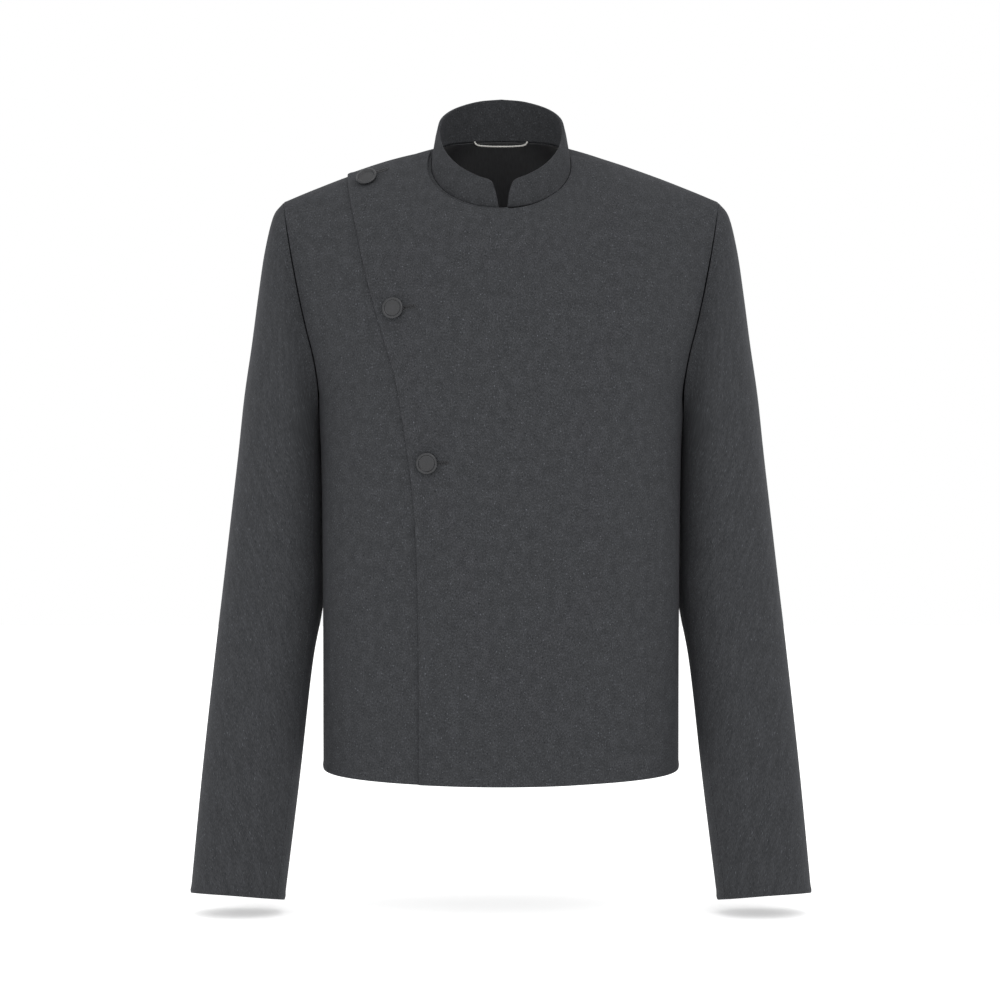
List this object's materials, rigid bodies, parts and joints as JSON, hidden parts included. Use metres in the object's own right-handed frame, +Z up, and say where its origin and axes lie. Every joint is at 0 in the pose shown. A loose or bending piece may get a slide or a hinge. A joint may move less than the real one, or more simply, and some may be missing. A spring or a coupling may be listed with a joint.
{
  "type": "mao jacket",
  "caption": "Wool jacket with a stand collar and a front overlap that closes at the shoulder, filled out to a hollow worn form with hanging sleeves.",
  "frame": {"origin": "base of the neck, midway between the neck ends of the shoulder seams, where the wearer's shoulders hold the garment up", "axes": "+X to the wearer's left, -Y to the wearer's front, +Z up"},
  "size_m": [0.61, 0.2508, 0.8015],
  "materials": {
    "wool_flannel": "matt charcoal melange wool flannel with a short nap",
    "lining_satin": "black lining with a faint sheen",
    "button_horn": "dark grey, satin, with a raised rim",
    "loop_cord": "pale grey twisted cord"
  },
  "bodies": {
    "root": {"front_over": "wool_flannel", "front_under": "wool_flannel", "back": "wool_flannel", "sleeve_left_top": "wool_flannel", "sleeve_left_under": "wool_flannel", "sleeve_right_top": "wool_flannel", "sleeve_right_under": "wool_flannel", "collar": "wool_flannel", "lining_yoke": "lining_satin", "hanger_loop": "loop_cord", "button_shoulder": "button_horn", "button_chest": "button_horn", "button_waist": "button_horn"}
  },
  "joints": []
}
